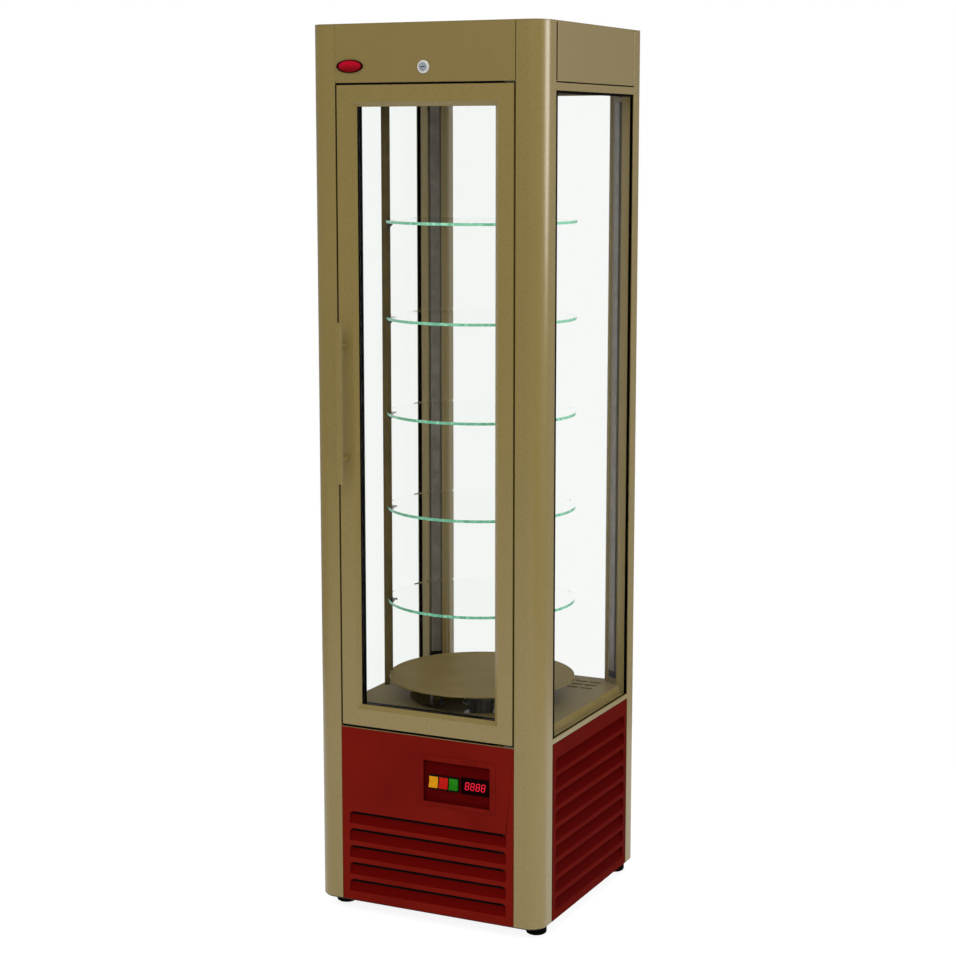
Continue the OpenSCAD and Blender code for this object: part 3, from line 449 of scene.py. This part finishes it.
def studio_floor():
    """Matt white floor that looks white to the camera and still takes the case's shadow."""
    made, tree = empty_material("matt_white_floor")
    paper = add(tree, "ShaderNodeTexNoise", {"Vector": place(tree), "Scale": per_mm(6)})
    matt = add(tree, "ShaderNodeBsdfDiffuse", {
        "Color": blend_colours(tree, paper.outputs["Fac"], "#f7f7f7", "#fafafa")})
    glow = add(tree, "ShaderNodeEmission", {"Color": (1, 1, 1, 1), "Strength": 1.12})
    share = add(tree, "ShaderNodeMath", {0: seen_directly(tree), 1: 0.8}, operation="MULTIPLY")
    both = add(tree, "ShaderNodeMixShader", {
        0: share.outputs["Value"], 1: matt.outputs["BSDF"], 2: glow.outputs["Emission"]})
    show(tree, both.outputs["Shader"])
    return made


floor_front, floor_back, floor_side = -4.7, 1.4, 2.0
floor = sheet_object("studio_floor", [
    (-floor_side, floor_front, 0), (floor_side, floor_front, 0),
    (floor_side, floor_back, 0), (-floor_side, floor_back, 0)], studio_floor())

# The room: a pale light on the case, stronger from the front left, a white backdrop for the
# camera, and for gloss a room that is pale behind the case and dim in front of it
world = bpy.data.worlds.new("white_studio")
world.use_nodes = True
sky = world.node_tree
sky.nodes.clear()
direction = add(sky, "ShaderNodeTexCoord").outputs["Generated"]
along = add(sky, "ShaderNodeVectorMath", {0: direction, 1: (-0.15, 1.0, 0.0)},
            operation="DOT_PRODUCT")
gloss_level = add(sky, "ShaderNodeMapRange", {
    "Value": along.outputs["Value"], "From Min": -0.6, "From Max": 0.9,
    "To Min": 0.02, "To Max": 0.42})
from_left = add(sky, "ShaderNodeVectorMath", {0: direction, 1: (-0.8, -0.6, 0.0)},
                operation="DOT_PRODUCT")
room_level = add(sky, "ShaderNodeMapRange", {
    "Value": from_left.outputs["Value"], "From Min": -1.0, "From Max": 1.0,
    "To Min": 0.52, "To Max": 0.9})
room_light = add(sky, "ShaderNodeBackground", {
    "Color": (1, 1, 1, 1), "Strength": room_level.outputs["Result"]})
room_gloss = add(sky, "ShaderNodeBackground", {
    "Color": (1, 1, 1, 1), "Strength": gloss_level.outputs["Result"]})
backdrop = add(sky, "ShaderNodeBackground", {"Color": (1, 1, 1, 1), "Strength": 1.0})
sky_path = add(sky, "ShaderNodeLightPath")
not_through = add(sky, "ShaderNodeMath", {0: 1.0, 1: sky_path.outputs["Is Transmission Ray"]},
                  operation="SUBTRACT")
mirrored = add(sky, "ShaderNodeMath", {
    0: sky_path.outputs["Is Glossy Ray"], 1: not_through.outputs["Value"]},
    operation="MULTIPLY")
seen_or_lit = add(sky, "ShaderNodeMixShader", {
    0: seen_directly(sky), 1: room_light.outputs["Background"],
    2: backdrop.outputs["Background"]})
sky_mix = add(sky, "ShaderNodeMixShader", {
    0: mirrored.outputs["Value"], 1: seen_or_lit.outputs["Shader"],
    2: room_gloss.outputs["Background"]})
add(sky, "ShaderNodeOutputWorld", {"Surface": sky_mix.outputs["Shader"]})
bpy.context.scene.world = world
bpy.context.scene.view_settings.view_transform = "Standard"


def soft_box(name, spot, target, width, height, power):
    """A studio lamp at spot, aimed at target, both in metres, that no view shows itself."""
    data = bpy.data.lights.new(name, "AREA")
    data.shape = "RECTANGLE"
    data.size = width
    data.size_y = height
    data.energy = power
    lamp = bpy.data.objects.new(name, data)
    lamp.location = spot
    aim = Vector(target) - Vector(spot)
    lamp.rotation_euler = aim.to_track_quat("-Z", "Y").to_euler()
    lamp.visible_camera = False
    lamp.visible_transmission = False
    bpy.context.scene.collection.objects.link(lamp)
    return lamp


soft_box("key_light", (0.4, -4.2, 4.4), (0, 0, 0.9), 3.0, 2.2, 100)
soft_box("top_light", (1.6, -0.6, 4.4), (0, 0, 1.0), 2.4, 2.4, 30)
# The right side's light is split: a broad lamp for the matt colour, and a tall one that draws
# the highlight down the rounded corner
side_fill = soft_box("side_fill", (3.0, -0.2, 1.1), (0.26, 0, 1.0), 2.0, 2.2, 34)
side_fill.visible_glossy = False
edge_light = soft_box("edge_light", (1.57, 0.27, 2.1), (0.26, -0.25, 2.1), 0.9, 1.7, 27)
edge_light.data.shape = "ELLIPSE"
edge_light.visible_diffuse = False

# Pieces made here


def link(name, mesh, material, body, smooth=True):
    """Makes an object of a mesh, with its finish, riding on a body of the CAD."""
    mesh.materials.append(material)
    made = bpy.data.objects.new(name, mesh)
    bpy.context.scene.collection.objects.link(made)
    if smooth:
        mesh.shade_smooth()
    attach(made, body)
    return made


def prism(bm, outline, low, high, matrix=None):
    """Adds a closed prism over an outline of (x, y) points, from z low to z high."""
    matrix = matrix or Matrix.Identity(4)
    rings = [[bm.verts.new(matrix @ Vector((x, y, z))) for x, y in outline]
             for z in (low, high)]
    count = len(outline)
    bm.faces.new(list(reversed(rings[0])))
    bm.faces.new(rings[1])
    for i in range(count):
        j = (i + 1) % count
        bm.faces.new((rings[0][i], rings[0][j], rings[1][j], rings[1][i]))


def finished(bm, name):
    bmesh.ops.recalc_face_normals(bm, faces=bm.faces)
    mesh = bpy.data.meshes.new(name)
    bm.to_mesh(mesh)
    bm.free()
    return mesh


def rounding(made, width, segments=3, angle=30):
    bevel = made.modifiers.new("edge_radius", "BEVEL")
    bevel.width = width * MM
    bevel.segments = segments
    bevel.limit_method = "ANGLE"
    bevel.angle_limit = math.radians(angle)
    even = made.modifiers.new("even_shading", "WEIGHTED_NORMAL")
    even.keep_sharp = True


# Lamps on the slanted inner faces of the rear pillars: a dark channel, a smoked front and an
# end cap at the foot. A lamp's own x runs along the face, its y stands out of the face.
half_width, front_face, back_face, middle_y = 262.5, -249.5, 285.5, 18.0
face_middle = (41.24, 50.65)
run = Vector((-32.0, 25.0)).normalized()
lamp_low, lamp_high = 455.0, 1724.0
cap_below, cap_above = 2, 12
channel_start = lamp_low + 8


def lamp_frame(side):
    """Matrix from a lamp's own millimetres to metres, side 1 right and -1 left."""
    x_axis = Vector((-side * run.x, -run.y, 0))
    out = Vector((-side * run.y, run.x, 0))
    spot = Vector((side * (half_width - face_middle[0]), back_face - face_middle[1], 0))
    matrix = Matrix.Identity(4)
    for row in range(3):
        matrix[row][0] = x_axis[row] * MM
        matrix[row][1] = out[row] * MM
        matrix[row][2] = (0, 0, MM)[row]
        matrix[row][3] = spot[row] * MM
    return matrix


channel = [(-14.5, 0.02), (14.5, 0.02), (14.5, 0.9), (11.2, 1.1), (11.2, 2.4), (10.7, 2.4),
           (10.7, 0.8), (-10.7, 0.8), (-10.7, 2.4), (-11.2, 2.4), (-11.2, 1.1), (-14.5, 0.9)]
diffuser = [(-10.2, 0.9), (10.2, 0.9), (10.2, 2.4), (9.2, 3.3), (-9.2, 3.3), (-10.2, 2.4)]
cap = [(-14.8, 0.02), (14.8, 0.02), (14.8, 1.8), (10.4, 4.2), (-10.4, 4.2), (-14.8, 1.8)]
channels, fronts, caps = bmesh.new(), bmesh.new(), bmesh.new()
for side in (-1, 1):
    matrix = lamp_frame(side)
    prism(channels, channel, channel_start, lamp_high, matrix)
    prism(fronts, diffuser, channel_start, lamp_high, matrix)
    prism(caps, cap, lamp_low - cap_below, lamp_low + cap_above, matrix)
channel_piece = link("lamp_channels", finished(channels, "lamp_channels"),
                     finish["dark_bracket"], "cabinet", smooth=False)
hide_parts("lamp_strips")
front_piece = link("lamp_fronts", finished(fronts, "lamp_fronts"), finish["lamp_diffuser"],
                   "cabinet")
rounding(front_piece, 0.3, angle=40)
cap_piece = link("lamp_end_caps", finished(caps, "lamp_end_caps"), finish["black_plastic"],
                 "cabinet")
rounding(cap_piece, 0.8)

# Numbers on the display: seven bars a digit, all lit, leaning 8 degrees, just over the window's
# floor. A bar's place is in digit widths and half heights, and says whether the bar stands.
bar_places = ((0, 1, False), (0.5, 0.5, True), (0.5, -0.5, True), (0, -1, False),
              (-0.5, -0.5, True), (-0.5, 0.5, True), (0, 0, False))
digit_count, digit_pitch = 4, 12.4
digit_w, digit_h, bar_w, bar_gap = 7.4, 15.0, 1.6, 0.5
bar_depths = 0.25, 0.02
display_centre = (110.9, 314.7)
window_floor_y = front_face + 7.0


def bar_outline(length, thick):
    """A display bar: a strip with pointed ends, centred on the origin and lying along X."""
    tip = thick / 2
    return [(-length / 2 + tip, -thick / 2), (length / 2 - tip, -thick / 2), (length / 2, 0),
            (length / 2 - tip, thick / 2), (-length / 2 + tip, thick / 2), (-length / 2, 0)]


digits = bmesh.new()
lean = math.tan(math.radians(8))
for index in range(digit_count):
    middle_x = display_centre[0] + digit_pitch * (index - (digit_count - 1) / 2)
    for sx, sz, standing in bar_places:
        length = (digit_h / 2 if standing else digit_w) - bar_gap
        points = []
        for px, pz in bar_outline(length, bar_w):
            if standing:
                px, pz = pz, px
            x = px + sx * digit_w
            z = pz + sz * digit_h / 2
            points.append((middle_x + x + z * lean, display_centre[1] + z))
        verts = []
        for proud in bar_depths:
            verts.append([digits.verts.new(mm(x, window_floor_y - proud, z))
                          for x, z in points])
        digits.faces.new(verts[0])
        digits.faces.new(list(reversed(verts[1])))
        for i in range(len(points)):
            j = (i + 1) % len(points)
            digits.faces.new((verts[0][j], verts[0][i], verts[1][i], verts[1][j]))
link("display_digits", finished(digits, "display_digits"), digit_red, "cabinet",
     smooth=False)

# Wire guard over the fan outlet in the well
guard_centre = mm(-42, 118, 394.2)
guard_radii = (46, 37, 28, 19, 10)
arm_in, arm_out, arm_lift, arm_foot = 10, 50, 1.5, -1.2
guard_wire = 0.9


def wire(name, rings, radius, body, material):
    """Closed or open wires as one curve object, each ring a list of points and a closed flag."""
    curve = bpy.data.curves.new(name, "CURVE")
    curve.dimensions = "3D"
    curve.bevel_depth = radius
    curve.bevel_resolution = 3
    for points, closed in rings:
        spline = curve.splines.new("POLY")
        spline.points.add(len(points) - 1)
        for point, where in zip(spline.points, points):
            point.co = (*where, 1)
        spline.use_cyclic_u = closed
    curve.materials.append(material)
    made = bpy.data.objects.new(name, curve)
    bpy.context.scene.collection.objects.link(made)
    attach(made, body)
    return made


def circle_points(centre, radius, count=48):
    return [centre + Vector((radius * math.cos(2 * math.pi * i / count),
                             radius * math.sin(2 * math.pi * i / count), 0))
            for i in range(count)]


guard_rings = [(circle_points(guard_centre, r * MM), True) for r in guard_radii]
for arm in range(4):
    turn = math.radians(45 + 90 * arm)
    heading = Vector((math.cos(turn), math.sin(turn), 0))
    guard_rings.append(([guard_centre + heading * (out * MM) + mm(0, 0, lift)
                         for out, lift in ((arm_in, arm_lift), (arm_out, arm_lift),
                                           (arm_out, arm_foot))], False))
wire("fan_guard", guard_rings, guard_wire * MM, "cabinet", finish["lock_chrome"])

# Black strips of painted shade in the cabinet's seams that look dark and bronze covers in those
# that don't, lips on the door and filter mats behind the louvres. A slab is a face, its stretch
# along the face, its depths inward and its heights.


def on_face(face, u, v):
    """A point u along a face and v inward from it, seen from above, in millimetres."""
    return {"front": (u, front_face + v), "right": (half_width - v, middle_y + u),
            "left": (v - half_width, middle_y - u), "rear": (-u, back_face - v)}[face]


def slabs(name, pieces, material, body):
    bm = bmesh.new()
    for face, stretch, depths, heights in pieces:
        outline = [on_face(face, u, v) for u, v in (
            (stretch[0], depths[0]), (stretch[1], depths[0]),
            (stretch[1], depths[1]), (stretch[0], depths[1]))]
        prism(bm, outline, heights[0], heights[1], Matrix.Scale(MM, 4))
    return link(name, finished(bm, name), material, body, smooth=False)


side_end, front_end = 206.4, 202.4
fascia_seam, panel_seam, front_seam = 200.7, 203.6, 201.4
under_fascia = (1755.0, 1757.4)
housing_heights, panel_heights = (1759.7, 1870.8), (30.0, 409.0)
door_heights, lip_depths, mat_depths = (416.6, 1753.0), (2, 4), (12.3, 12.8)
shade_strips, covers = [], []
for face in ("right", "left"):
    shade_strips.append((face, (-side_end, side_end), (0.9, 2.9), under_fascia))
    to_front = -1 if face == "right" else 1
    ends = sorted((to_front * fascia_seam, to_front * side_end))
    shade_strips.append((face, ends, (0.8, 2.4), housing_heights))
    covers.append((face, [-end for end in reversed(ends)], (0.15, 2.4), housing_heights))
    for side in (-1, 1):
        shade_strips.append((face, sorted((side * panel_seam, side * side_end)), (0.5, 1.4),
                      panel_heights))
shade_strips.append(("front", (front_seam, front_end), (0.5, 1.9), housing_heights))
covers.append(("front", (-front_end, -front_seam), (0.3, 1.9), housing_heights))
# Painted shade: black strips in the gaps of the seams
slabs("seam_shade_strips", shade_strips, finish["seal_rubber"], "cabinet")
slabs("seam_covers", covers, finish["bronze_sheet"], "cabinet")
slabs("door_lips", [
    ("front", (-198.3, 160), lip_depths, (411.3, 416.4)),
    ("front", (-198.3, 160), lip_depths, (1753.1, 1757.2)),
    ("front", (-202.2, -198.6), lip_depths, door_heights)],
    finish["seal_rubber"], "door")
slabs("filter_mats", [
    ("front", (-192, 192), mat_depths, (46, 240)),
    ("right", (-196, 196), mat_depths, (46, 384)),
    ("left", (-196, 196), mat_depths, (46, 384)),
    ("rear", (-192, 192), mat_depths, (120, 346))],
    finish["seal_rubber"], "cabinet")

# A black strip over the air slot at the head of each front and rear louvre, reaching a little
# below it: painted shade under the louvre's lip, over the dark slot. It lies on the pressed face,
# which leans from the panel's face at its foot to its full depth.
louvre_low, louvre_pitch = 47.3, 37.7
louvre_long, louvre_high, louvre_deep, louvre_round = 370, 27.0, 10.0, 10.0
lip_shade_drop, lip_shade_top, lip_shade_proud, lip_shade_sunk = 7.4, 0.2, 0.4, 0.1
press_lean = louvre_deep / louvre_high


def lip_shade_strip(bm, face, foot):
    """A strip along one louvre whose foot is at the height foot."""
    low, high = foot + louvre_high - lip_shade_drop, foot + louvre_high - lip_shade_top
    reach = (louvre_long - louvre_round) / 2
    corners = []
    for u in (-reach, reach):
        for z in (low, high):
            v = (z - foot) * press_lean
            for depth in (v - lip_shade_proud, v + lip_shade_sunk):
                corners.append(bm.verts.new(Vector((*on_face(face, u, depth), z)) * MM))
    a, b, c, d, e, f, g, h = corners
    for quad in ((a, b, d, c), (e, g, h, f), (a, c, g, e),
                 (b, f, h, d), (a, e, f, b), (c, d, h, g)):
        bm.faces.new(quad)


# Black strips of painted shade under the louvre lips
meshes = bmesh.new()
for face, first, last in (("front", 0, 4), ("rear", 2, 7)):
    for louvre in range(first, last + 1):
        lip_shade_strip(meshes, face, louvre_low + louvre_pitch * louvre)
link("louvre_lip_shade_strips", finished(meshes, "louvre_lip_shade_strips"), finish["black_plastic"], "cabinet",
     smooth=False)
